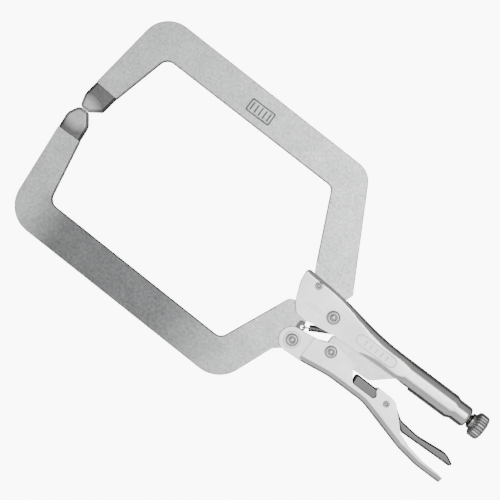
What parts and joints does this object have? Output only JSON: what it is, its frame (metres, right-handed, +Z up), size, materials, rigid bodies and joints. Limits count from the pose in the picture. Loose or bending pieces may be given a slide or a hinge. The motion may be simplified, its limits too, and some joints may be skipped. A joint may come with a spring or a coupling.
{
  "type": "locking pliers",
  "caption": "Locking C-clamp pliers: long bent flat-bar arms round a deep throat, an over-centre handle with a release lever, and an adjusting screw.",
  "frame": {"origin": "middle of the assembly's footprint, level with its lowest point (the knob's rim)", "axes": "+X along the fixed handle towards the knob, so the jaws point to -X; +Y towards the fixed upper arm; +Z up, across the arms' plane"},
  "size_m": [0.4552, 0.2306, 0.0231],
  "materials": {
    "arm_steel": "matte plated, fine blasted grain",
    "tip_steel": "matte, darker from hardening",
    "handle_nickel": "bright nickel plate",
    "lever_nickel": "satin nickel plate",
    "rivet_steel": "satin, dished heads",
    "link_steel": "satin, slightly oily",
    "spring_steel": "drawn wire",
    "screw_steel": "machined",
    "knob_nickel": "satin nickel plate over the flutes"
  },
  "bodies": {
    "fixed_handle": {"fixed_handle": "handle_nickel", "screw_nut": "screw_steel", "upper_arm": "arm_steel", "upper_jaw_tip": "tip_steel", "arm_rivet": "rivet_steel", "jaw_pivot_rivet": "rivet_steel", "opening_spring": "spring_steel"},
    "lower_arm": {"lower_arm": "arm_steel", "lower_jaw_tip": "tip_steel"},
    "lower_handle": {"lower_handle": "handle_nickel", "lever_pivot_rivet": "rivet_steel", "lever_pivot_washers": "rivet_steel", "link_rivet": "rivet_steel", "link_washers": "rivet_steel", "release_rivet": "rivet_steel"},
    "toggle_link": {"toggle_link": "link_steel"},
    "release_lever": {"release_lever": "lever_nickel"},
    "screw_thrust_cap": {"screw_thrust_cap": "screw_steel"},
    "adjusting_screw": {"adjusting_screw": "screw_steel", "adjusting_knob": "knob_nickel"}
  },
  "joints": [
    {"name": "jaw_pivot", "type": "hinge", "parent": "fixed_handle", "child": "lower_arm", "pos_m": [0.06435, -0.01045, 0.01157], "axis": [0, 0, 1], "range_deg": [0, 18], "deforming": ["opening_spring"]},
    {"name": "lever_pivot", "type": "hinge", "parent": "lower_arm", "child": "lower_handle", "pos_m": [0.04705, -0.04725, 0.01157], "axis": [0, 0, 1], "range_deg": [-53.2, 0]},
    {"name": "link_pivot", "type": "hinge", "parent": "lower_handle", "child": "toggle_link", "pos_m": [0.08035, -0.03545, 0.01157], "axis": [0, 0, 1], "range_deg": [0, 57.6]},
    {"name": "release_pivot", "type": "hinge", "parent": "lower_handle", "child": "release_lever", "pos_m": [0.14585, -0.04295, 0.01157], "axis": [0, 0, 1], "range_deg": [-8, 0]},
    {"name": "screw_spin", "type": "hinge", "parent": "screw_thrust_cap", "child": "adjusting_screw", "pos_m": [0.21135, -0.01045, 0.01157], "axis": [1, 0, 0], "range_deg": [0, 5764]},
    {"name": "screw_feed", "type": "slide", "parent": "fixed_handle", "child": "screw_thrust_cap", "axis": [1, 0, 0], "range_m": [0, 0.024]}
  ],
  "couplings": [
    {"joint": "lever_pivot", "follows": "jaw_pivot", "ratio": -2.943},
    {"joint": "link_pivot", "follows": "jaw_pivot", "ratio": 3.19},
    {"joint": "screw_spin", "follows": "screw_feed", "rad_per_m": 4188.8}
  ]
}
